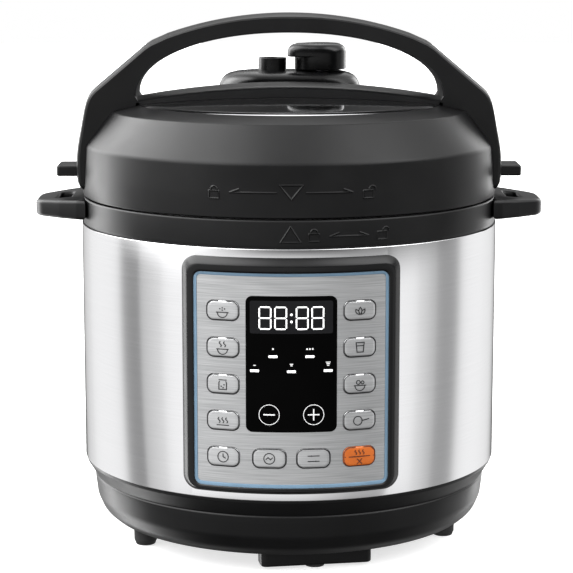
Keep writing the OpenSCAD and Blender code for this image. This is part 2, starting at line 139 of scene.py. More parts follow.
def noise(tree, scale, detail=3.0, stretch=(1, 1, 1)):
    """A noise texture in object space, with its own stretch along X, Y and Z."""
    coords = tree.nodes.new("ShaderNodeTexCoord")
    mapping = tree.nodes.new("ShaderNodeMapping")
    mapping.inputs["Scale"].default_value = stretch
    tex = tree.nodes.new("ShaderNodeTexNoise")
    tex.inputs["Scale"].default_value = scale
    tex.inputs["Detail"].default_value = detail
    tree.links.new(coords.outputs["Object"], mapping.inputs["Vector"])
    tree.links.new(mapping.outputs["Vector"], tex.inputs["Vector"])
    return tex.outputs["Fac"]


def spread(tree, value, low, high):
    """A 0 to 1 value carried to low to high."""
    node = tree.nodes.new("ShaderNodeMapRange")
    node.inputs["From Min"].default_value = 0.3
    node.inputs["From Max"].default_value = 0.7
    node.inputs["To Min"].default_value = low
    node.inputs["To Max"].default_value = high
    tree.links.new(value, node.inputs["Value"])
    return node.outputs["Result"]


def tint(tree, value, dark, light):
    """A colour between dark and light."""
    ramp = tree.nodes.new("ShaderNodeValToRGB")
    ramp.color_ramp.elements[0].position = 0.3
    ramp.color_ramp.elements[1].position = 0.7
    ramp.color_ramp.elements[0].color = (*dark, 1)
    ramp.color_ramp.elements[1].color = (*light, 1)
    tree.links.new(value, ramp.inputs["Fac"])
    return ramp.outputs["Color"]


def add_bump(tree, bsdf, value, strength, distance):
    bump = tree.nodes.new("ShaderNodeBump")
    bump.inputs["Strength"].default_value = strength
    bump.inputs["Distance"].default_value = distance
    tree.links.new(value, bump.inputs["Height"])
    tree.links.new(bump.outputs["Normal"], bsdf.inputs["Normal"])


def surface(name, pattern, dark, light, rough):
    """A material whose colour and roughness follow one noise pattern."""
    mat, tree, bsdf = new_material(name)
    value = noise(tree, *pattern)
    tree.links.new(tint(tree, value, dark, light), bsdf.inputs["Base Color"])
    tree.links.new(spread(tree, value, *rough), bsdf.inputs["Roughness"])
    return mat, tree, bsdf, value


def plastic(name, dark, light, rough=(0.34, 0.44), grain=1600, bump=0.12, specular=0.5):
    """Moulded plastic or rubber: a fine spark-eroded grain, and slow cloudy wear."""
    mat, tree, bsdf, _ = surface(name, (30, 4), dark, light, rough)
    fine = noise(tree, grain, 2)
    bsdf.inputs["Specular IOR Level"].default_value = specular
    add_bump(tree, bsdf, fine, bump, 0.0001)
    return mat


def metal(name, dark, light, rough, stretch=(1, 1, 1), grain=60, bump=0.05):
    """Metal whose grain follows the stretch: drawn round, brushed along or plain."""
    mat, tree, bsdf, lines = surface(name, (grain, 4, stretch), dark, light, rough)
    bsdf.inputs["Metallic"].default_value = 1
    add_bump(tree, bsdf, lines, bump, 0.00005)
    return mat


def printed(name, dark, light, rough=(0.3, 0.4), stretch=(1, 1, 1), grain=80, metallic=0.0):
    """A printed film: flat colour with a little mottling under a satin coat."""
    mat, tree, bsdf, lines = surface(name, (grain, 5, stretch), dark, light, rough)
    bsdf.inputs["Metallic"].default_value = metallic
    add_bump(tree, bsdf, lines, 0.04, 0.00005)
    return mat


def glowing(name, colour, strength):
    mat, tree, bsdf = new_material(name)
    slow = noise(tree, 200, 2)
    tree.links.new(tint(tree, slow, [c * 0.9 for c in colour], colour), bsdf.inputs["Base Color"])
    bsdf.inputs["Emission Color"].default_value = (*colour, 1)
    bsdf.inputs["Emission Strength"].default_value = strength
    bsdf.inputs["Roughness"].default_value = 0.4
    return mat


ROUND_LINES = (0.01, 0.01, 1)
BRUSHED = (0.012, 0.012, 1)
BLACK = plastic("black_plastic", (0.0022, 0.0022, 0.0024), (0.0036, 0.0036, 0.0038),
                specular=0.2)
BLACK_SMOOTH = plastic("smooth_black", (0.003, 0.003, 0.0033), (0.005, 0.005, 0.0053),
                       rough=(0.22, 0.3), bump=0.04, specular=0.25)
RUBBER = plastic("rubber", (0.012, 0.012, 0.012), (0.02, 0.02, 0.02), rough=(0.7, 0.85), bump=0.3)
SILICONE = plastic("silicone", (0.62, 0.6, 0.55), (0.7, 0.68, 0.63), rough=(0.45, 0.55))
STEEL = metal("steel", (0.8, 0.8, 0.81), (0.83, 0.83, 0.84), (0.09, 0.12), ROUND_LINES, 1500, 0.003)
DISC_STEEL = metal("disc_steel", (0.7, 0.7, 0.71), (0.76, 0.76, 0.77), (0.06, 0.08), (1, 1, 1), 30)
BRIGHT = metal("bright_steel", (0.7, 0.7, 0.72), (0.78, 0.78, 0.8), (0.15, 0.22))
ALUMINIUM = metal("aluminium", (0.62, 0.63, 0.65), (0.72, 0.73, 0.75), (0.35, 0.45), (1, 1, 8))
BRASS = metal("brass", (0.6, 0.45, 0.2), (0.7, 0.55, 0.3), (0.25, 0.35))
SILVER = printed("panel_silver", (0.34, 0.345, 0.35), (0.56, 0.565, 0.57), (0.3, 0.4),
                 BRUSHED, 2600, 0.85)
KEY_SILVER = printed("key_silver", (0.42, 0.425, 0.43), (0.6, 0.605, 0.61), (0.28, 0.36),
                     BRUSHED, 2600, 0.85)
KEY_ORANGE = printed("key_orange", (0.44, 0.095, 0.008), (0.5, 0.115, 0.012), (0.3, 0.38))
BLUE = printed("panel_blue", (0.11, 0.185, 0.26), (0.13, 0.215, 0.3))
WINDOW = plastic("window_black", (0.0006, 0.0006, 0.0006), (0.001, 0.001, 0.001),
                 rough=(0.12, 0.18), bump=0.01, specular=0.02)
RECESS = plastic("display_grey", (0.009, 0.009, 0.01), (0.012, 0.012, 0.013),
                 rough=(0.3, 0.35), bump=0.02, specular=0.02)
INK = printed("dark_ink", (0.004, 0.004, 0.005), (0.007, 0.007, 0.008), (0.5, 0.6))
INK_RED = printed("cut_ink", (0.06, 0.01, 0.003), (0.08, 0.014, 0.004), (0.4, 0.5))
# White print with a faint painted glow: its emission stands in for light falling on the marks
WHITE_PRINT_PAINTED_GLOW = glowing("white_print_painted_glow", (0.75, 0.75, 0.75), 0.25)
GLOW = glowing("lit_segment", (1.0, 1.0, 1.0), 0.7)
BOARD = printed("solder_mask", (0.01, 0.1, 0.035), (0.015, 0.13, 0.045))
PARTS = plastic("part_casings", (0.02, 0.02, 0.025), (0.05, 0.05, 0.06))
WIRE = plastic("insulation", (0.3, 0.02, 0.02), (0.36, 0.03, 0.03), rough=(0.3, 0.4))
RED = plastic("float_red", (0.45, 0.02, 0.02), (0.52, 0.03, 0.03), rough=(0.25, 0.35))


def clear_plastic():
    colours = (0.85, 0.9, 0.93), (0.9, 0.94, 0.96)
    mat, _, bsdf, _ = surface("clear_plastic", (40, 3), *colours, (0.08, 0.15))
    bsdf.inputs["Transmission Weight"].default_value = 0.85
    bsdf.inputs["IOR"].default_value = 1.49
    return mat


CLEAR = clear_plastic()

NODE_MATERIALS = {
    BLACK: ["bottom_cover", "power_inlet", "cup_bracket"],
    RUBBER: ["front_foot_pad"],
    STEEL: ["inner_housing", "inner_pot", "lid_pan", "filter_cap", "sensor_bracket"],
    BRIGHT: ["bottom_screws", "handle_screws", "sensor_spring", "sealing_ring_rack",
             "release_pipe", "thermal_fuse"],
    ALUMINIUM: ["heating_plate", "temperature_sensor"],
    BRASS: ["heater_terminals", "inlet_pins"],
    BOARD: ["power_board", "control_board"],
    PARTS: ["board_components", "tact_switches", "display_module"],
    WIRE: ["wire_harness"],
    RED: ["float_valve"],
    CLEAR: ["condensation_cup"],
    SILVER: ["panel_overlay"],
    SILICONE: ["float_seal", "sealing_ring"],
}
for material, names in NODE_MATERIALS.items():
    for name in names:
        nodes[name].data.materials.clear()
        nodes[name].data.materials.append(material)


# ---- Mesh helpers ----


def piece(name, bm, material, body, replaces=(), sharp=35):
    """A finished bmesh, in millimetres, as a piece that rides on a body."""
    bmesh.ops.remove_doubles(bm, verts=bm.verts, dist=0.0005)
    bmesh.ops.recalc_face_normals(bm, faces=bm.faces)
    bmesh.ops.scale(bm, vec=(MM, MM, MM), verts=bm.verts)
    limit = math.radians(sharp)
    for face in bm.faces:
        face.smooth = True
    for edge in bm.edges:
        edge.smooth = len(edge.link_faces) == 2 and edge.calc_face_angle(0) < limit
    mesh = bpy.data.meshes.new(name)
    bm.to_mesh(mesh)
    bm.free()
    mesh.materials.append(material)
    obj = bpy.data.objects.new(name, mesh)
    bpy.context.scene.collection.objects.link(obj)
    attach(obj, body)
    if replaces:
        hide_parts(*replaces)
    return obj


def rounded(points, steps=6):
    """A closed outline of (a, b, radius) corners as points, with an arc at each corner."""
    out = []
    count = len(points)
    for i, (a, b, radius) in enumerate(points):
        here = Vector((a, b))
        before = Vector(points[i - 1][:2]) - here
        after = Vector(points[(i + 1) % count][:2]) - here
        if radius <= 0:
            out.append((a, b))
            continue
        half = before.angle(after) / 2
        cut = min(radius / math.tan(half), before.length * 0.49, after.length * 0.49)
        real = cut * math.tan(half)
        centre = here + (before.normalized() + after.normalized()).normalized() * (
            real / math.sin(half))
        start = here + before.normalized() * cut - centre
        end = here + after.normalized() * cut - centre
        turn = start.angle_signed(end)
        for k in range(steps + 1):
            t = -turn * k / steps
            out.append((centre.x + start.x * math.cos(t) - start.y * math.sin(t),
                        centre.y + start.x * math.sin(t) + start.y * math.cos(t)))
    return out


def revolve(profile, segments=192):
    """A closed profile of (radius, height) turned about Z."""
    bm = bmesh.new()
    rings = []
    for r, z in profile:
        if r < 1e-6:
            rings.append([bm.verts.new((0, 0, z))] * segments)
            continue
        rings.append([bm.verts.new((r * math.cos(math.tau * i / segments),
                                    r * math.sin(math.tau * i / segments), z))
                      for i in range(segments)])
    for a, b in zip(rings, rings[1:] + rings[:1]):
        for i in range(segments):
            j = (i + 1) % segments
            corners = []
            for v in (a[i], a[j], b[j], b[i]):
                if v not in corners:
                    corners.append(v)
            if len(corners) > 2:
                bm.faces.new(corners)
    return bm


def loft(rings, bm=None, closed_ends=True, round_trip=False):
    """Rings of points joined in order by quads, with the end rings filled."""
    bm = bm or bmesh.new()
    made = [[bm.verts.new(p) for p in ring] for ring in rings]
    pairs = list(zip(made, made[1:]))
    if round_trip:
        pairs.append((made[-1], made[0]))
    count = len(made[0])
    for a, b in pairs:
        for i in range(count):
            j = (i + 1) % count
            bm.faces.new((a[i], a[j], b[j], b[i]))
    if closed_ends and not round_trip:
        bm.faces.new(made[0])
        bm.faces.new(list(reversed(made[-1])))
    return bm


def slab(outlines, z0, z1, edge=0.0, steps=3):
    """Flat outlines, holes included, as a block from z0 to z1 with rounded edges."""
    curve = bpy.data.curves.new("slab", "CURVE")
    curve.dimensions = "2D"
    curve.fill_mode = "BOTH"
    curve.extrude = (z1 - z0) / 2 - edge
    curve.bevel_depth = edge
    curve.bevel_resolution = steps
    curve.offset = -edge
    for outline in outlines:
        spline = curve.splines.new("POLY")
        spline.points.add(len(outline) - 1)
        for point, (x, y) in zip(spline.points, outline):
            point.co = (x, y, 0, 1)
        spline.use_cyclic_u = True
    holder = bpy.data.objects.new("slab", curve)
    mesh = holder.to_mesh()
    bm = bmesh.new()
    bm.from_mesh(mesh)
    holder.to_mesh_clear()
    bpy.data.objects.remove(holder)
    bpy.data.curves.remove(curve)
    bmesh.ops.translate(bm, vec=(0, 0, (z0 + z1) / 2), verts=bm.verts)
    bmesh.ops.remove_doubles(bm, verts=bm.verts, dist=0.001)
    return bm


def merged(*parts):
    """Several bmeshes as one."""
    whole = parts[0]
    for part in parts[1:]:
        mesh = bpy.data.meshes.new("part")
        part.to_mesh(mesh)
        part.free()
        whole.from_mesh(mesh)
        bpy.data.meshes.remove(mesh)
    return whole


def cut(bm, *tools):
    """The first bmesh less the others."""
    def holder(part, name):
        mesh = bpy.data.meshes.new(name)
        bmesh.ops.recalc_face_normals(part, faces=part.faces)
        part.to_mesh(mesh)
        part.free()
        obj = bpy.data.objects.new(name, mesh)
        bpy.context.scene.collection.objects.link(obj)
        return obj

    bmesh.ops.remove_doubles(bm, verts=bm.verts, dist=0.0005)
    body = holder(bm, "cut_body")
    knives = [holder(tool, "cut_tool") for tool in tools]
    for knife in knives:
        modifier = body.modifiers.new("cut", "BOOLEAN")
        modifier.object = knife
        modifier.solver = "EXACT"
    done = bmesh.new()
    done.from_object(body, bpy.context.evaluated_depsgraph_get())
    for obj in (body, *knives):
        mesh = obj.data
        bpy.data.objects.remove(obj)
        bpy.data.meshes.remove(mesh)
    return done


def rod(x, y, radius, z0, z1, segments=48):
    """An upright cylinder."""
    ring = [(x + radius * math.cos(math.tau * i / segments),
             y + radius * math.sin(math.tau * i / segments)) for i in range(segments)]
    return loft([[(a, b, z0) for a, b in ring], [(a, b, z1) for a, b in ring]])


def valve_bores(z0, z1):
    """The holes for the float and the release pipe, from z0 to z1."""
    return (rod(FLOAT_X, VALVE_Y, FLOAT_HOLE_R, z0, z1),
            rod(PIPE_X, VALVE_Y, PIPE_HOLE_R, z0, z1))


def brick(low, high):
    """A box between two corners."""
    corners = [(low[0], low[1]), (high[0], low[1]), (high[0], high[1]), (low[0], high[1])]
    return loft([[(a, b, low[2]) for a, b in corners], [(a, b, high[2]) for a, b in corners]])


def rounded_box(half_w, half_h, radius, steps=8):
    """A rounded rectangle about the origin, always with the same number of points."""
    out = []
    for cx, cy, start in ((1, 1, 0), (-1, 1, 90), (-1, -1, 180), (1, -1, 270)):
        for k in range(steps + 1):
            t = math.radians(start + 90 * k / steps)
            out.append((cx * (half_w - radius) + radius * math.cos(t),
                        cy * (half_h - radius) + radius * math.sin(t)))
    return out


def bevelled(obj, width, segments=3, angle=40):
    """Rounds the sharp edges of a piece."""
    modifier = obj.modifiers.new("edges", "BEVEL")
    modifier.width = width * MM
    modifier.segments = segments
    modifier.limit_method = "ANGLE"
    modifier.angle_limit = math.radians(angle)
    modifier.harden_normals = True
    return obj


# ---- Shapes on the round front ----


def on_front(x, z, r):
    """A point at a sideways distance x on the front of a cylinder of radius r."""
    return (x, -math.sqrt(r * r - x * x), z)


def at_angle(u, z, r, angle):
    """A point a distance u round a cylinder of radius r from an angle off the front."""
    a = math.radians(angle) + u / r
    return (r * math.sin(a), -r * math.cos(a), z)


def plate(half_w, z0, z1, radius, r_front, r_back, edge=0.3, columns=28):
    """A curved plate with round corners, cut from the front of a drum."""
    middle = (z0 + z1) / 2
    half_h = (z1 - z0) / 2
    steps = [half_w * math.sin(math.radians(-90 + 180 * i / columns)) for i in range(columns + 1)]

    def section(x, inset, r):
        reach, limit = half_h - inset, half_w - inset
        x = max(-limit, min(limit, x * limit / half_w))
        soft = max(radius - inset, 0.05)
        over = abs(x) - (limit - soft)
        top = reach - soft + math.sqrt(max(soft * soft - over * over, 0)) if over > 0 else reach
        return on_front(x, middle + top, r), on_front(x, middle - top, r)

    rings = []
    for x in steps:
        front_hi, front_lo = section(x, edge, r_front)
        side_hi, side_lo = section(x, 0, r_front - edge)
        back_hi, back_lo = section(x, 0, r_back)
        rings.append([front_lo, front_hi, side_hi, back_hi, back_lo, side_lo])
    return loft(rings)


def ribbon(bm, path, width, place, height=0.12, closed=False):
    """A raised line of a given width. place(u, z, h) puts a flat point on the surface."""
    points = [Vector(p) for p in path]
    count = len(points)
    left, right = [], []
    for i, here in enumerate(points):
        before = points[i - 1] if i or closed else here
        after = points[(i + 1) % count] if i < count - 1 or closed else here
        one = (here - before).normalized() if (here - before).length else Vector((0, 0))
        two = (after - here).normalized() if (after - here).length else Vector((0, 0))
        along = (one + two).normalized()
        side = Vector((-along.y, along.x))
        if one.length and two.length:
            side = side / max(side.dot(Vector((-two.y, two.x))), 0.5)
        left.append(here + side * width / 2)
        right.append(here - side * width / 2)
    rings = []
    for a, b in zip(left, right):
        rings.append([place(a.x, a.y, height), place(b.x, b.y, height),
                      place(b.x, b.y, 0), place(a.x, a.y, 0)])
    return loft(rings, bm, round_trip=closed)


def patch(bm, outline, place, height=0.12):
    """A raised flat shape, given by its outline."""
    return loft([[place(u, z, 0) for u, z in outline],
                 [place(u, z, height) for u, z in outline]], bm)


def circle(cx, cy, radius, steps=24, start=0, sweep=360):
    last = steps if sweep < 360 else steps - 1
    return [(cx + radius * math.cos(math.radians(start + sweep * i / steps)),
             cy + radius * math.sin(math.radians(start + sweep * i / steps)))
            for i in range(last + 1)]


# ---- Base and body ----


def build_base():
    """The lower housing: a flared collar above a bowl, with a socket opening at the back."""
    top, low = shell_low[2], base_low[2]
    outer = [(110, low, 0), (118, low, 5), (123.9, low + 5, 10), (127.4, low + 13, 14),
             (128.6, low + 23, 14), (129, top - 12.3, 0.9), (128.4, top - 11.4, 0.4),
             (134.2, top - 2.2, 1.5), (134.6, top, 0.3),
             (131.9, top, 0.3), (131.4, top - 1, 1), (125.6, top - 9.5, 4), (125, top - 20, 6),
             (119, low + 6, 6), (110, low + 2.5, 0)]
    bm = cut(revolve(rounded(outer, 6)), brick((-15.6, 100, 15.4), (15.6, 140, 37.6)))
    piece("base_bowl", bm, BLACK, "base", ["base_housing"])


def build_shell():
    low, high = shell_low[2], shell_high[2]
    r = SHELL_R
    inside = r - 0.8
    profile = rounded([(inside, low, 0.2), (r, low, 0.35), (r, high, 0.35), (inside, high, 0.2)], 3)
    opening = brick((-OPENING_HALF, -140, OPENING_LOW), (OPENING_HALF, -100, OPENING_HIGH))
    shell = cut(revolve(profile, 256), opening)
    piece("steel_shell", shell, STEEL, "base", ["outer_shell"])


def build_ring():
    """The black ring on top of the shell, with an ear on each side."""
    low, high = shell_high[2], ring_high[2]
    r = RING_R
    profile = [(116.8, low, 0.2), (r - 0.3, low, 0.4), (r, low + 2, 0.5), (r, high, 1.3),
               (128.6, high, 0.8), (128.6, low + 2, 0.3), (116.8, low + 2, 0.2)]
    parts = [revolve(rounded(profile, 4), 256)]
    tip = ring_high[0]
    for side in (1, -1):
        outline = rounded([(130, -40.5, 0), (136, -38.5, 6), (tip - 17, -31, 12), (tip, -17, 16),
                           (tip, 17, 16), (tip - 17, 31, 12), (136, 38.5, 6), (130, 40.5, 0)], 8)
        slot = rounded([(142, -15, 2), (150, -15, 2), (150, 15, 2), (142, 15, 2)], 4)
        ear = slab([[(side * x, y) for x, y in outline], [(side * x, y) for x, y in slot]],
                   high - 12.9, high - 0.2, 2.4)
        for v in ear.verts:
            fall = max(abs(v.co.x) - 134, 0) * 0.075
            if v.co.z > high - 6:
                v.co.z -= fall
        parts.append(ear)
    piece("ring_and_ears", merged(*parts), BLACK, "base", ["top_ring"])


def build_feet():
    """Four round rubber feet and the wide block at the front."""
    first = frame_foot_angle()
    parts = []
    for turn in FOOT_TURNS:
        a = math.radians(first + turn - 90)
        foot = revolve(rounded([(0, 0, 0), (6.3, 0, 0.8), (6.9, 2.2, 0.6), (7.3, 2.6, 0.4),
                                (7.5, base_low[2], 0), (0, base_low[2], 0)], 4), 40)
        place = (FOOT_R * math.cos(a), FOOT_R * math.sin(a), 0)
        bmesh.ops.translate(foot, vec=place, verts=foot.verts)
        parts.append(foot)
    piece("round_feet", merged(*parts), RUBBER, "base", ["rubber_feet"])
    block_low, block_high = size_of("front_foot")
    cx = (block_low[0] + block_high[0]) / 2
    cy = (block_low[1] + block_high[1]) / 2
    t = math.radians(first)
    turned = [(cx + u * math.cos(t) - v * math.sin(t), cy + u * math.sin(t) + v * math.cos(t))
              for u, v in rounded_box(35.2, 8, 4)]
    block = slab([turned], block_low[2], block_high[2], 1.2)
    piece("foot_block", block, BLACK, "base", ["front_foot"])


def frame_foot_angle():
    """The front block's angle off the front, read from where its CAD box lies."""
    low, high = size_of("front_foot")
    return math.degrees(math.atan2((low[0] + high[0]) / 2, -(low[1] + high[1]) / 2))


# ---- Control panel ----


def build_bezel():
    """The frame of the control panel, swept round its outline."""
    half_w, half_h = bezel_high[0], (bezel_high[2] - bezel_low[2]) / 2
    middle = (bezel_low[2] + bezel_high[2]) / 2
    steps = [(0, 135.1, 9), (0, 135.7, 9), (0.25, 136.1, 8.8), (1.2, 137.3, 8.3), (2.5, 138.7, 7.4),
             (3.1, 139.2, 6.9), (3.6, 139.45, 6.6), (4.2, BEZEL_R, 6.2), (6.0, BEZEL_R, 5.1),
             (6.5, 139.3, 4.9), (7.0, 138.9, 4.7), (7.1, 136, 4.6), (7.1, 135.1, 4.6)]
    rings = []
    for inset, r, radius in steps:
        # The lower bar of the frame is narrower than its sides
        flat = rounded_box(half_w - inset, half_h - inset, radius)
        ring = []
        for x, z in flat:
            squeeze = inset * 0.35 if z < 0 else inset * 0.27
            ring.append(on_front(x, middle + z - squeeze, r))
        rings.append(subdivided(ring, r))
    piece("panel_frame", loft(rings, closed_ends=False, round_trip=True), BLACK_SMOOTH, "base",
          ["panel_bezel"])


def subdivided(ring, r):
    """Adds points along the long straight runs, so that they follow the drum."""
    out = []
    for a, b in zip(ring, ring[1:] + ring[:1]):
        out.append(a)
        count = LONG_RUN if abs(a[0] - b[0]) > 30 else 1
        for k in range(1, count):
            t = k / count
            out.append(on_front(a[0] + (b[0] - a[0]) * t, a[2] + (b[2] - a[2]) * t, r))
    return out


def build_trim():
    """The thin blue line inside the frame."""
    low, high = size_of("panel_trim")
    half_w, half_h = high[0], (high[2] - low[2]) / 2
    middle = (low[2] + high[2]) / 2
    rings = []
    for inset, r, radius in ((0, 135.2, 4.4), (0, 138.5, 4.4), (0.2, 138.7, 4.2), (2.2, 138.7, 2.6),
                             (2.35, 138.6, 2.5), (2.35, 135.2, 2.5)):
        flat = rounded_box(half_w - inset, half_h - inset, radius)
        rings.append(subdivided([on_front(x, middle + z, r) for x, z in flat], r))
    piece("blue_line", loft(rings, closed_ends=False, round_trip=True), BLUE, "base",
          ["panel_trim"])


def build_window():
    """The dark window with its display field, and holes for the minus and plus keys."""
    half = window_high[0]
    glass = plate(half, window_low[2], window_high[2], 4, WINDOW_R, 135.3, 0.25)
    knives = []
    for side in (-1, 1):
        knife = rod(side * ADJUST_X, 0, ADJUST_HOLE_R, 0, 40)
        for v in knife.verts:
            v.co = Vector((v.co.x, -120 - v.co.z, v.co.y + ADJUST_Z))
        knives.append(knife)
    piece("window_glass", cut(glass, *knives), WINDOW, "base", ["display_window"])
    low, high = window_high[2] - 22.7, window_high[2] - 2.8
    recess = plate(24.8, low, high, 1.2, WINDOW_R + 0.03, WINDOW_R - 0.4, 0.05)
    piece("display_field", recess, RECESS, "base")


def window_place(u, z, h):
    """A point on the window, a height h off its face."""
    return on_front(u, z, WINDOW_R + 0.04 + h)


def segment(bm, a, b, width):
    """One lit segment with pointed ends."""
    a, b = Vector(a), Vector(b)
    along = (b - a).normalized()
    side = Vector((-along.y, along.x)) * width / 2
    tip = along * width / 2
    outline = [a, a + tip + side, b - tip + side, b, b - tip - side, a + tip - side]
    patch(bm, [tuple(p) for p in outline], window_place)


def build_digits():
    """Four digits with every segment lit, and a colon."""
    bm = bmesh.new()
    w, h = 3.4, 6.6
    cz = window_high[2] - 13.2
    for cx in (-15.7, -6.4, 6.4, 15.7):
        for sz in (-1, 0, 1):
            segment(bm, (cx - w + 0.3, cz + sz * h), (cx + w - 0.3, cz + sz * h), DIGIT_WIDTH)
        for sx in (-1, 1):
            for sz in (-1, 1):
                x = cx + sx * w
                segment(bm, (x, cz + sz * 0.3), (x, cz + sz * (h - 0.3)), DIGIT_WIDTH)
    for dz in (-2.15, 2.15):
        patch(bm, circle(0, cz + dz, 0.75, 16), window_place)
    piece("lit_digits", bm, GLOW, "base")
    bars = bmesh.new()
    for x, dz in ((-11, 36.5), (11, 36.5), (-22, 45.3), (0, 45.6), (22, 45.3)):
        z = window_high[2] - dz
        patch(bars, [(x + a, z + b) for a, b in rounded_box(2.65, 0.72, 0.3, 3)], window_place)
    piece("lit_bars", bars, GLOW, "base")
    build_bar_symbols()


def build_bar_symbols():
    """Small symbols over the indicator bars: dots over the upper two, widening lines over the rest."""
    bm = bmesh.new()
    top = window_high[2]
    for x, count in ((-11, 1), (11, 3)):
        for k in range(count):
            dx = (k - (count - 1) / 2) * 1.7
            patch(bm, circle(x + dx, top - 31.9, 0.55, 12), window_place)
    for x, count in ((-22, 1), (0, 2), (22, 3)):
        for k in range(count):
            z = top - 42.0 + k * 0.95
            half = 0.7 + 0.35 * k
            patch(bm, [(x - half, z - 0.25), (x + half, z - 0.25), (x + half, z + 0.25),
                       (x - half, z + 0.25)], window_place)
    # The symbols are white print with a faint painted glow
    piece("bar_symbols", bm, WHITE_PRINT_PAINTED_GLOW, "base")


def build_adjust_keys():
    """The minus and plus keys, round caps in the window, each with a ring and a sign."""
    for name, side in (("key_minus", -1), ("key_plus", 1)):
        cap = rod(side * ADJUST_X, 0, ADJUST_KEY_R, 0, 1, 64)
        for v in cap.verts:
            x, z = v.co.x, v.co.y + ADJUST_Z
            r = WINDOW_R if v.co.z > 0.5 else ADJUST_BACK_R
            v.co = Vector(on_front(x, z, r))
        bevelled(piece(f"{name}_cap", cap, WINDOW, name, [name]), 0.15)
        bm = bmesh.new()
        x = side * ADJUST_X

        def place(u, z, h):
            return on_front(u, z, WINDOW_R + 0.02 + h)

        ribbon(bm, circle(x, ADJUST_Z, 6.1, 64), 0.36, place, ADJUST_INK_HIGH, closed=True)
        strokes = [[(x - 3.5, ADJUST_Z), (x + 3.5, ADJUST_Z)]]
        if side > 0:
            strokes += [[(x, ADJUST_Z + 0.3), (x, ADJUST_Z + 3.5)],
                        [(x, ADJUST_Z - 0.3), (x, ADJUST_Z - 3.5)]]
        for stroke in strokes:
            ribbon(bm, stroke, 0.7, place, ADJUST_INK_HIGH)
        # The ring and the sign are white print with a faint painted glow
        piece(f"{name}_mark", bm, WHITE_PRINT_PAINTED_GLOW, name)


def bowl(x=0.0, z=0.0, s=1.0):
    """A bowl with its rim, as two open paths."""
    rim = [(x - 2.6 * s, z + 0.3 * s), (x + 2.6 * s, z + 0.3 * s)]
    return [rim, circle(x, z + 0.3 * s, 2.1 * s, 12, 180, 180)]


def steam(x, z, s=1.0):
    """A wavy line that rises, as an open path."""
    return [(x + 0.45 * s * math.sin(k * 0.9), z + k * 0.32 * s) for k in range(8)]


def leaf(x, z, s, turn):
    """A pointed leaf, as a closed path."""
    out = []
    for k in range(17):
        t = k / 16
        w = math.sin(math.pi * t) * 0.75 * s
        out.append((t * 3.2 * s - 1.6 * s, w))
    out += [(a, -b) for a, b in reversed(out[1:-1])]
    c, d = math.cos(math.radians(turn)), math.sin(math.radians(turn))
    return [(x + a * c - b * d, z + a * d + b * c) for a, b in out]


# The key symbols, about a key's centre: open paths, closed paths and dots
SYMBOLS = {
    "key_left_1": {"open": bowl(0, -1), "dots": [(-1, 0.7), (0, 1.1), (1, 0.7), (0, 0.2)]},
    "key_left_2": {"open": bowl(0, -1) + [steam(-0.9, 0.2), steam(0.9, 0.2)]},
    "key_left_3": {"open": [[(-1.7, 1.7), (1.7, 1.7)], [(-1.3, 1.2), (-1.6, 0.6), (-1.6, -2.2),
                                                        (1.6, -2.2), (1.6, 0.6), (1.3, 1.2)]],
                   "dots": [(-0.6, -0.9), (0.6, -0.3), (0.2, -1.5)]},
    "key_left_4": {"open": [steam(-1.6, -1), steam(0, -1), steam(1.6, -1),
                            [(-2.6, -1.9), (2.6, -1.9)]]},
    "key_left_5": {"closed": [circle(0, 0, 2.2)], "open": [[(0, 1.3), (0, 0), (1.1, -0.6)]]},
    "key_right_1": {"closed": [leaf(0, -0.2, 0.9, 90), leaf(-1.2, -0.6, 0.8, 125),
                               leaf(1.2, -0.6, 0.8, 55)]},
    "key_right_2": {"closed": [[(-1.7, 1.9), (1.7, 1.9), (1.3, -2), (-1.3, -2)]],
                    "open": [[(-1.55, 0.6), (1.55, 0.6)]]},
    "key_right_3": {"open": bowl(0, -1), "closed": [circle(-0.7, 0.6, 0.8), circle(1.1, 0.5, 0.6)]},
    "key_right_4": {"closed": [circle(-0.8, -0.2, 1.8)], "open": [[(1.0, -0.2), (4.0, 0.4)]]},
    "key_bottom_1": {"closed": [circle(0, 0, 2.2)],
                     "open": [[(-1.4, -0.4), (-0.5, 0.5), (0.5, -0.4), (1.4, 0.5)]]},
    "key_bottom_2": {"open": [[(-2.4, 1.1), (2.4, 1.1)], [(-2.4, -1.1), (2.4, -1.1)]],
                     "dots": [(-0.9, 1.1), (0.9, -1.1)]},
    "key_right_5": {"open": [steam(-2.4, 1.2, 1.3), steam(0, 1.2, 1.3), steam(2.4, 1.2, 1.3),
                             [(u, 0) for u in (-9.4, -4.7, 0, 4.7, 9.4)],
                             [(-1.6, -4.6), (1.6, -1.4)], [(-1.6, -1.4), (1.6, -4.6)]]},
}


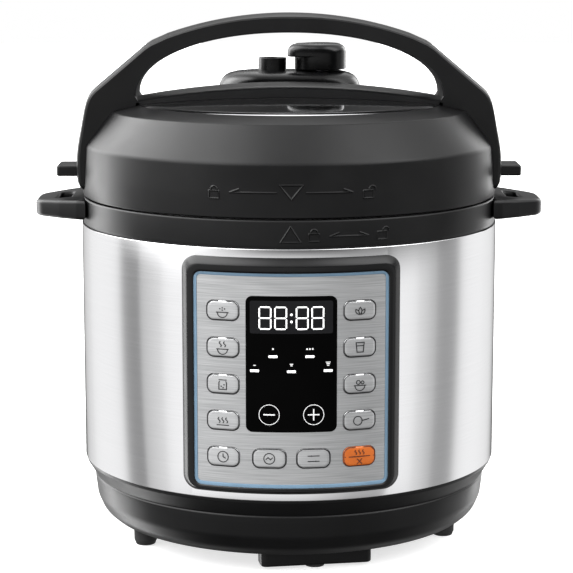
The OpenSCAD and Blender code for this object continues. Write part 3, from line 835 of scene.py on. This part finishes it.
def build_key(name, angle):
    """A raised key with its printed outline and its symbol."""
    low, high = size_of(name)
    cz = (low[2] + high[2]) / 2
    half_h = (high[2] - low[2]) / 2
    orange = name == "key_right_5"
    cap_rings = []
    for inset, r in ((0, 135.3), (0, 138.3), (0.15, 138.6), (0.5, 138.85), (1.2, 139.0),
                     (2.2, KEY_FRONT_R)):
        flat = rounded_box(KEY_HALF - inset, half_h - inset, max(4.4 - inset, 1.8), 7)
        cap_rings.append([at_angle(u, cz + z, r, angle) for u, z in flat])
    cap = loft(cap_rings)
    piece(f"{name}_cap", cap, KEY_ORANGE if orange else KEY_SILVER, name, [name])

    def place(u, z, h):
        edge = max(abs(u) / KEY_HALF, abs(z) / half_h)
        sink = 0.5 * max(edge - 0.8, 0) ** 1.2 * 3
        return at_angle(u, cz + z, KEY_FRONT_R - min(sink, 0.25) + h, angle)

    bm = bmesh.new()
    flat = rounded_box(KEY_HALF - 0.3, half_h - 0.3, 4.1, 8)
    if name.startswith("key_bottom"):
        ribbon(bm, flat, OUTLINE_WIDTH, place, INK_HIGH, closed=True)
    else:
        corner = 9
        path = [(-2.5, half_h - 0.3)] + flat[corner:] + flat[:corner] + [(2.5, half_h - 0.3)]
        ribbon(bm, path, OUTLINE_WIDTH, place, INK_HIGH)
    marks = SYMBOLS[name]
    big = 1.0 if orange else 1.5
    for kind in ("open", "closed"):
        for path in marks.get(kind, []):
            grown = [(u * big, z * big) for u, z in path]
            ribbon(bm, grown, SYMBOL_WIDTH, place, INK_HIGH, closed=kind == "closed")
    for x, z in marks.get("dots", []):
        patch(bm, circle(x * big, z * big, 0.45, 12), place, INK_HIGH)
    piece(f"{name}_print", bm, INK_RED if orange else INK, name)


def build_keys():
    for side, word in ((-1, "left"), (1, "right")):
        for row in range(1, 6):
            build_key(f"key_{word}_{row}", side * KEY_COLUMN_TURN)
    build_key("key_bottom_1", -KEY_ROW_TURN)
    build_key("key_bottom_2", KEY_ROW_TURN)


# ---- Lid ----


def build_cover():
    """The black lid cover: an upright rim, a sloping shoulder and a seat for the disc."""
    low, seat = cover_low[2], 277.3
    outer = [(130.4, low, 0.6), (134, low, 0.8), (133.5, low + 14, 30), (132.4, low + 32.2, 5.5),
             (115.7, low + 54, 2.2), (98.5, low + 58.2, 0.7), (98.4, seat, 0.2), (0, seat, 0),
             (0, 274.3, 0), (113, 274.3, 3), (125.4, 262.5, 3), (128.6, 256, 6), (130, low + 14, 6)]
    bm = cut(revolve(rounded(outer, 8), 256), *valve_bores(270, 280))
    piece("cover_dome", bm, BLACK, "lid", ["lid_cover"])


def disc_height(r):
    """Height of the steel disc's top face at a distance from the axis."""
    top = disc_high[2]
    if r <= 90:
        return top - 4.0 * (r / 90) ** 1.9
    t = (r - 90) / 8
    return top - 4.0 - 0.7 * t - 0.8 * t ** 3


def build_disc():
    """The steel disc set into the lid cover."""
    reach = disc_high[0]
    radii = [reach * math.sin(math.radians(90 * k / 40)) for k in range(41)]
    top = [(r, disc_height(r)) for r in radii]
    under = [(min(r, 96.8), disc_height(min(r, 96)) - 1) for r in reversed(radii)]
    profile = top + [(reach, 277.5), (96.8, 277.5)] + under
    bm = cut(revolve(profile, 256), *valve_bores(270, 290))
    piece("steel_disc", bm, DISC_STEEL, "lid", ["lid_disc"])


def cover_radius(z):
    """Radius of the lid cover's outer face at a height."""
    steps = [(224.1, 134.0), (238, 133.6), (254, 132.5), (256.4, 131.9), (258.8, 130.6),
             (277.0, 116.7), (278.3, 114.9), (282.3, 98.4)]
    for (za, ra), (zb, rb) in zip(steps, steps[1:]):
        if z <= zb:
            return ra + (rb - ra) * max(z - za, 0) / (zb - za)
    return steps[-1][1]


def handle_sections():
    """Pairs of inner and outer outline points, from the foot of a leg to the crown."""
    crown = handle_high[2]
    radius = 242
    pairs = []
    legs = [(133.4, 226.0), (134.4, 226.9), (136.0, 229.2), (137.3, 232.4), (137.8, 236.5),
            (137.8, 243), (137.5, 250), (136.9, 255), (135.9, 260.5), (134.4, 268),
            (133.3, 274), (132.2, 279.6), (131.0, 284)]
    for x, z in legs:
        inner_z = 226 + (z - 226) * (277.5 - 226) / (284 - 226)
        pairs.append(((cover_radius(inner_z), inner_z, 1.0), (x, z)))
    corner = [((113.6, 278.9, 1.0), (129.7, 287.2)), ((109, 279.9, 1.0), (127.9, 290)),
              ((103, 281.3, 1.0), (125.4, 292.4)), ((98.6, 282.6, 1.0), (121.5, 295.7)),
              ((97.9, 284.6, 0.5), (117.3, 299.2)), ((97.6, 287.2, 0.0), (113, 302.8))]
    pairs += corner
    a, b, z0 = 97.6, 41.1, 286.5
    outer_line = [(113, 302.8), (88.9, 323.1)]
    # Steps of the arch from the corner to the crown, and those along the straight shoulder
    steps, straight = 34, 11
    for k in range(1, steps + 1):
        t = math.radians(1.4 + 88.6 * (k / steps) ** 0.93)
        inner = (a * max(math.cos(t), 0) ** 0.94, z0 + b * math.sin(t) ** 0.94, 0.0)
        if k <= straight:
            s = k / straight
            x = outer_line[0][0] + (outer_line[1][0] - outer_line[0][0]) * s
            z = outer_line[0][1] + (outer_line[1][1] - outer_line[0][1]) * s
            if k >= straight - 1:
                x, z = x - 0.1, z - (0.7 if k == straight else 0.25)
        else:
            x = 86 * (1 - (k - straight) / (steps - straight))
            z = crown - radius + math.sqrt(radius * radius - x * x)
            if k == straight + 1:
                z -= 0.35
        pairs.append((inner, (x, z)))
    return pairs


def handle_ring(inner, outer, side, steps=10):
    """One closed section of the handle, with crowned faces and rounded edges."""
    half = HANDLE_HALF
    ix, iz, on_lid = inner
    ox, oz = outer

    def point(y, share):
        hug = ix * ix - y * y
        near = (math.sqrt(hug) if on_lid and hug > 0 else ix)
        near = ix + (near - ix) * on_lid + 0.06 * on_lid
        return Vector((near + (ox - near) * share, y, iz + (oz - iz) * share))

    thick = math.hypot(ox - ix, oz - iz)
    flat = half - 0.9
    across = [-half] + [-flat * math.cos(math.pi * k / steps) for k in range(steps + 1)] + [half]
    ring = []
    for y in across:
        drop = 1.7 * (abs(y) / half) ** 2.4 + (0.9 if abs(y) == half else 0)
        ring.append(point(y, 1 - drop / thick))
    for y in reversed(across):
        lift = 0 if on_lid else 0.9 * (abs(y) / half) ** 2.4 + (0.8 if abs(y) == half else 0)
        ring.append(point(y, lift / thick))
    return [(side * p.x, p.y, p.z) for p in ring]


def build_handle():
    """The arched handle, with a fin on each leg."""
    pairs = handle_sections()
    rings = [handle_ring(inner, outer, 1) for inner, outer in pairs]
    other = [handle_ring(inner, outer, -1) for inner, outer in reversed(pairs[:-1])]
    bm = loft(rings + other)
    parts = [bm]
    for side in (1, -1):
        outline = rounded([(134, -14.5, 0), (150.5, -14.5, 2.5), (150.5, 14.5, 2.5),
                           (134, 14.5, 0)], 5)
        parts.append(slab([[(side * x, y) for x, y in outline]], 235.6, 242.4, 1.1))
    piece("handle_arch", merged(*parts), BLACK, "lid", ["handle"], sharp=28)


def build_strap():
    """The bridge across the steel disc, with a crowned top and a face at the front."""
    radius, top = 557, 294.6
    half, reach = HANDLE_HALF, 98
    lengths, widths = 60, 12
    rings = []
    for i in range(lengths + 1):
        x = -reach + 2 * reach * i / lengths
        high = top - radius + math.sqrt(radius * radius - x * x)
        ring = []
        for k in range(widths + 1):
            y = -half * math.cos(math.pi * k / widths)
            edge = abs(y) / half
            ring.append((x, y, high - 0.9 * edge ** 2.5 - 1.2 * max(edge - 0.93, 0) / 0.07))
        for k in range(widths + 1):
            y = half * math.cos(math.pi * k / widths)
            r = min(math.hypot(x, y), reach)
            ring.append((x, y, disc_height(r) + 0.1))
        rings.append(ring)
    piece("bridge", loft(rings), BLACK, "lid", ["handle_strap"], sharp=28)


def build_platform():
    """The domed oval behind the bridge that carries the valves, and the float's guard."""
    end = 29
    left, right = platform_low[0] + end, platform_high[0] - end
    cy = (platform_low[1] + platform_high[1]) / 2
    top, low = platform_high[2], 282.4
    rings = []
    around = 96

    def outline(reach):
        out = []
        for i in range(around):
            t = math.tau * (i + 0.5) / around
            cx = right if math.cos(t) > 0 else left
            out.append((cx + reach * math.cos(t), cy + reach * math.sin(t)))
        return out

    for reach, z in ((end, low), (end, 286.2), (28.8, 288.2), (28, 291.4), (26.6, 294.2),
                     (24.4, 296.4), (21.5, 297.9), (17.5, 298.9), (11, 299.6), (4, top)):
        rings.append([(x, y, z) for x, y in outline(reach)])
    bm = cut(loft(rings), *valve_bores(270, 310))
    piece("valve_dome", bm, BLACK_SMOOTH, "lid", ["valve_platform"])
    z0, z1 = guard_low[2] - 0.4, guard_high[2]
    tube = revolve(rounded([(7.2, z0, 0), (9.5, z0, 0), (9.5, z1, 0.6), (8.9, z1, 0.5),
                            (7.2, z1 - 1.6, 0.4)], 4), 64)
    bmesh.ops.translate(tube, vec=(FLOAT_X, VALVE_Y, 0), verts=tube.verts)
    piece("guard_tube", tube, BLACK_SMOOTH, "lid", ["float_guard"])


def knob_outline(reach):
    """A round head with a nose to the left, drawn in or out by reach."""
    out = []
    for i in range(72):
        t = math.tau * i / 72
        bump = max(math.cos(t - math.radians(NOSE_TURN)), 0) ** 7
        r = KNOB_R + reach + NOSE * bump
        out.append((PIPE_X + r * math.cos(t), VALVE_Y + r * math.sin(t)))
    return out


def build_knob():
    """The release knob: a round stem under a domed head with a nose and a slot."""
    low, high = knob_low[2], knob_high[2]
    profile = [(PIPE_HOLE_R, low, 0.3), (KNOB_R, low, 0.5), (KNOB_R, low + 9.4, 0),
               (PIPE_HOLE_R, low + 9.4, 0)]
    stem = revolve(rounded(profile, 3), 72)
    bmesh.ops.translate(stem, vec=(PIPE_X, VALVE_Y, 0), verts=stem.verts)
    rings = []
    for reach, z in ((-0.6, low + 8.5), (0, low + 9.2), (0.05, low + 11), (-0.1, low + 12.6),
                     (-0.7, low + 14.2), (-1.9, low + 15.7), (-3.6, low + 16.7), (-6, high - 0.2),
                     (-10, high), (-15, high)):
        rings.append([(x, y, z) for x, y in knob_outline(reach)])
    head = loft(rings)
    recess = slab([[(PIPE_X + a, VALVE_Y + b) for a, b in rounded_box(7, 1.1, 1.0, 4)]],
                  high - 0.7, high + 1)
    turn = math.radians(SLOT_TURN)
    for v in recess.verts:
        dx, dy = v.co.x - PIPE_X, v.co.y - VALVE_Y
        v.co.x = PIPE_X + dx * math.cos(turn) - dy * math.sin(turn)
        v.co.y = VALVE_Y + dx * math.sin(turn) + dy * math.cos(turn)
    head = cut(head, recess, rod(PIPE_X, VALVE_Y, PIPE_HOLE_R, 300, 312.5))
    piece("knob_head", head, BLACK_SMOOTH, "release_knob", ["release_knob"])
    piece("knob_stem", stem, BLACK_SMOOTH, "release_knob")


# ---- Marks moulded into the lid and the ring ----


def ridge(bm, path, place, closed=False):
    """A raised line with a crest, so that its upper flank catches the light."""
    for a, b in zip(path, path[1:] + (path[:1] if closed else [])):
        a, b = Vector(a), Vector(b)
        along = (b - a).normalized() * RIDGE_HALF
        side = Vector((-along.y, along.x))
        a, b = a - along * 0.4, b + along * 0.4
        count = max(round((b - a).length / 3), 1)
        rings = []
        for k in range(count + 1):
            here = a + (b - a) * k / count
            rings.append([place(here.x + side.x, here.y + side.y, -0.1),
                          place(here.x, here.y, RIDGE_HIGH),
                          place(here.x - side.x, here.y - side.y, -0.1)])
        loft(rings, bm)


def arrow(bm, place, start, end, z):
    """A long thin arrow with a slim half head."""
    way = 1 if end > start else -1
    ridge(bm, [(start, z), (end, z)], place)
    ridge(bm, [(end, z), (end - way * 5.5, z + 2.0)], place)


def padlock(bm, place, u, z, open_lock=False):
    """A padlock, with its bow moved aside when it is open."""
    ridge(bm, [(u + a, z - 1.6 + b) for a, b in rounded_box(3.1, 2.3, 0.3, 1)], place, closed=True)
    shift = 2.6 if open_lock else 0
    ridge(bm, circle(u + shift, z + 1.2, 2.1, 8, 180, -180), place)


def build_marks():
    """The lid's arrows, padlocks and triangle, and the marks on the ring that they turn to."""
    lid = bmesh.new()
    z = 239.5

    def on_cover(u, zz, h):
        return at_angle(u, zz, cover_radius(zz) + h, 0)

    arrow(lid, on_cover, -9, -37, z)
    arrow(lid, on_cover, 9, 37, z)
    padlock(lid, on_cover, -47, z)
    padlock(lid, on_cover, 47, z, True)
    ridge(lid, [(-7, z + 4.5), (7, z + 4.5), (0, z - 4)], on_cover, closed=True)
    piece("lid_marks", lid, BLACK, "lid")
    ring = bmesh.new()
    zr = 214.5

    def on_ring(u, zz, h):
        return at_angle(u, zz, RING_R + h, 0)

    ridge(ring, [(-6.5, zr - 4.4), (5.5, zr - 4.4), (-0.5, zr + 5.0)], on_ring, closed=True)
    padlock(ring, on_ring, 13.5, zr)
    arrow(ring, on_ring, 32, 23, zr - 1)
    arrow(ring, on_ring, 32, 47, zr - 1)
    padlock(ring, on_ring, 56, zr, True)
    piece("ring_marks", ring, BLACK, "base")


build_shell()
build_ring()
build_base()
build_feet()
build_bezel()
build_trim()
build_window()
build_digits()
build_adjust_keys()
build_keys()
build_cover()
build_disc()
build_handle()
build_strap()
build_platform()
build_knob()
build_marks()


# ---- Light, floor and camera ----

# Studio walls: (degrees off the front, brightness) pairs. They are on the ground, at the lens's
# height, above it, and overhead. Their bright and dark bands are what the polished steel mirrors
GROUND = [(-180, 0.08), (-165, 0.15), (-145, 0.8), (-125, 0.6), (-100, 0.25), (-60, 0.15), (0, 0.12),
          (60, 0.15), (100, 0.2), (125, 0.5), (145, 0.7), (165, 0.15), (180, 0.08)]
LOW_WALL = [(-180, 0.1), (-170, 0.12), (-163, 0.5), (-157, 0.68), (-146, 0.86), (-130, 1.04),
            (-116, 1.04), (-105, 0.7), (-93, 0.34), (-90, 0.4), (-88, 0.6), (-75, 0.84),
            (-62, 1.08), (-35, 1.0), (0, 0.92), (25, 0.66), (48, 0.48), (55, 0.6), (62, 1.05),
            (75, 0.85), (86, 0.58), (95, 0.4), (105, 0.64), (121, 1.04), (138, 0.98), (157, 0.64),
            (168, 0.17), (180, 0.1)]
MID_WALL = [(-180, 0.03), (-167, 0.15), (-157, 2.6), (-140, 2.8), (-110, 2.6), (-80, 2.2),
            (-55, 1.6), (-30, 0.6), (0, 0.12), (25, 0.12), (46, 0.25), (68, 0.15), (90, 0.12),
            (112, 0.6), (140, 1.8), (157, 2.0), (167, 0.15), (180, 0.03)]
HIGH_WALL = [(-180, 2.6), (-160, 1.5), (-145, 2.0), (-125, 6.0), (-112, 8.0), (-78, 8.0),
             (-39, 5.5), (-20, 3.0), (0, 1.6), (30, 3.0), (55, 5.5), (75, 5.5), (95, 3.0),
             (113, 1.6), (150, 1.2), (180, 2.6)]
CEILING = 0.75
# The walls from the top down, each with the heights, on a sphere of radius 1, where it ends
WALLS = ((HIGH_WALL, 0.92, 0.99), (MID_WALL, 0.3, 0.42), (LOW_WALL, -0.02, 0.12),
         (GROUND, -0.66, -0.42))
# The softboxes' powers in watts
LEFT_POWER, RIGHT_POWER = 53, 20
# Floor: radius and drop below the feet in metres, grey, and the light that it gives itself
FLOOR_R, FLOOR_DROP, FLOOR_GREY, FLOOR_GLOW = 6, 0.0003, 0.6, 0.7
# Camera: distance from the pot axis and height in metres, tilt down and turn in degrees
CAMERA_DISTANCE, CAMERA_HEIGHT, CAMERA_TILT, CAMERA_TURN = 1.35, 0.3926, 9.748, -0.6
CAMERA_LENS, CAMERA_SHIFT = 130.4, -0.00436


def azimuth_ramp(tree, azimuth, stops):
    """Brightness by direction round the object: (degrees off the front, brightness) pairs."""
    ramp = tree.nodes.new("ShaderNodeFloatCurve")
    curve = ramp.mapping.curves[0]
    top = max(value for _, value in stops)
    points = [((angle + 180) / 360, value / top) for angle, value in stops]
    while len(curve.points) < len(points):
        curve.points.new(0.5, 0.5)
    for point, place in zip(curve.points, points):
        point.location = place
    ramp.mapping.update()
    tree.links.new(azimuth, ramp.inputs["Value"])
    return maths(tree, "MULTIPLY", ramp.outputs["Value"], top)


def feed(tree, socket, value):
    """A number set on a socket, or an output linked to it."""
    if isinstance(value, (int, float)):
        socket.default_value = value
    else:
        tree.links.new(value, socket)


def maths(tree, operation, a, b):
    """A math node on two numbers or outputs."""
    node = tree.nodes.new("ShaderNodeMath")
    node.operation = operation
    for socket, value in zip(node.inputs, (a, b)):
        feed(tree, socket, value)
    return node.outputs[0]


def layered(tree, height, low, high, below, above):
    """One brightness below a height, another above it, with a soft step between."""
    step = tree.nodes.new("ShaderNodeMapRange")
    step.interpolation_type = "SMOOTHSTEP"
    step.inputs["From Min"].default_value = low
    step.inputs["From Max"].default_value = high
    tree.links.new(height, step.inputs["Value"])
    mix = tree.nodes.new("ShaderNodeMix")
    tree.links.new(step.outputs["Result"], mix.inputs["Factor"])
    feed(tree, mix.inputs["A"], below)
    feed(tree, mix.inputs["B"], above)
    return mix.outputs["Result"]


def build_world():
    """White to the camera, and bright and dark walls to everything that they light."""
    world = bpy.data.worlds.new("studio")
    bpy.context.scene.world = world
    world.use_nodes = True
    tree = world.node_tree
    split = tree.nodes.new("ShaderNodeSeparateXYZ")
    coords = tree.nodes.new("ShaderNodeTexCoord")
    tree.links.new(coords.outputs["Generated"], split.inputs[0])
    forward = maths(tree, "MULTIPLY", split.outputs["Y"], -1.0)
    turn = maths(tree, "ARCTAN2", split.outputs["X"], forward)
    azimuth = maths(tree, "ADD", maths(tree, "DIVIDE", turn, math.tau), 0.5)
    sky = CEILING
    for wall, low, high in WALLS:
        ring = azimuth_ramp(tree, azimuth, wall)
        sky = layered(tree, split.outputs["Z"], low, high, ring, sky)
    seen = tree.nodes.new("ShaderNodeLightPath")
    mix = tree.nodes.new("ShaderNodeMix")
    tree.links.new(seen.outputs["Is Camera Ray"], mix.inputs["Factor"])
    tree.links.new(sky, mix.inputs["A"])
    mix.inputs["B"].default_value = 1.0
    background = tree.nodes["Background"]
    background.inputs["Color"].default_value = (1, 1, 1, 1)
    tree.links.new(mix.outputs["Result"], background.inputs["Strength"])
    bpy.context.scene.view_settings.view_transform = "Standard"


def build_softbox(name, place, size, facing, power, receivers):
    """A wide softbox whose light is linked to the receivers alone."""
    lamp = bpy.data.lights.new(name, "AREA")
    lamp.shape = "RECTANGLE"
    lamp.size, lamp.size_y = size
    lamp.energy = power
    obj = bpy.data.objects.new(name, lamp)
    obj.location = place
    obj.rotation_euler = Vector(facing).to_track_quat("-Z", "Z").to_euler()
    bpy.context.scene.collection.objects.link(obj)
    obj.light_linking.receiver_collection = receivers


def build_softboxes():
    """A softbox on each side, for the black mouldings only."""
    receivers = bpy.data.collections.new("black_mouldings")
    for obj in bpy.context.scene.objects:
        if obj.type != "MESH" or not obj.data.materials:
            continue
        if obj.data.materials[0] in (BLACK, BLACK_SMOOTH):
            receivers.objects.link(obj)
    build_softbox("left_box", (-1.2, 0.8, 0.1), (3.4, 0.9), (1, 0, 0), LEFT_POWER, receivers)
    build_softbox("right_box", (1.2, 1.7, 0.1), (2.2, 0.9), (-1, 0, 0), RIGHT_POWER, receivers)


def build_floor():
    """A pale floor that gives some light of its own and stays out of the object's reflections."""
    bm = bmesh.new()
    bmesh.ops.create_circle(bm, cap_ends=True, radius=FLOOR_R, segments=64,
                            matrix=Matrix.Translation((0, 0, -FLOOR_DROP)))
    mesh = bpy.data.meshes.new("floor")
    bm.to_mesh(mesh)
    bm.free()
    material = bpy.data.materials.new("pale_floor")
    material.use_nodes = True
    shader = material.node_tree.nodes["Principled BSDF"]
    shader.inputs["Base Color"].default_value = (FLOOR_GREY, FLOOR_GREY, FLOOR_GREY, 1)
    shader.inputs["Roughness"].default_value = 0.9
    shader.inputs["Specular IOR Level"].default_value = 0.0
    shader.inputs["Emission Color"].default_value = (1, 1, 1, 1)
    shader.inputs["Emission Strength"].default_value = FLOOR_GLOW
    mesh.materials.append(material)
    floor = bpy.data.objects.new("floor", mesh)
    floor.visible_glossy = False
    floor.visible_diffuse = False
    floor.visible_transmission = False
    bpy.context.scene.collection.objects.link(floor)


def build_camera():
    data = bpy.data.cameras.new("camera")
    data.sensor_width = 36
    data.lens = CAMERA_LENS
    data.shift_x = CAMERA_SHIFT
    data.clip_end = 30
    camera = bpy.data.objects.new("camera", data)
    a = math.radians(CAMERA_TURN)
    camera.location = (CAMERA_DISTANCE * math.sin(a), -CAMERA_DISTANCE * math.cos(a), CAMERA_HEIGHT)
    camera.rotation_euler = (math.radians(90 - CAMERA_TILT), 0, a)
    bpy.context.scene.collection.objects.link(camera)
    bpy.context.scene.camera = camera


build_world()
build_softboxes()
build_floor()
build_camera()
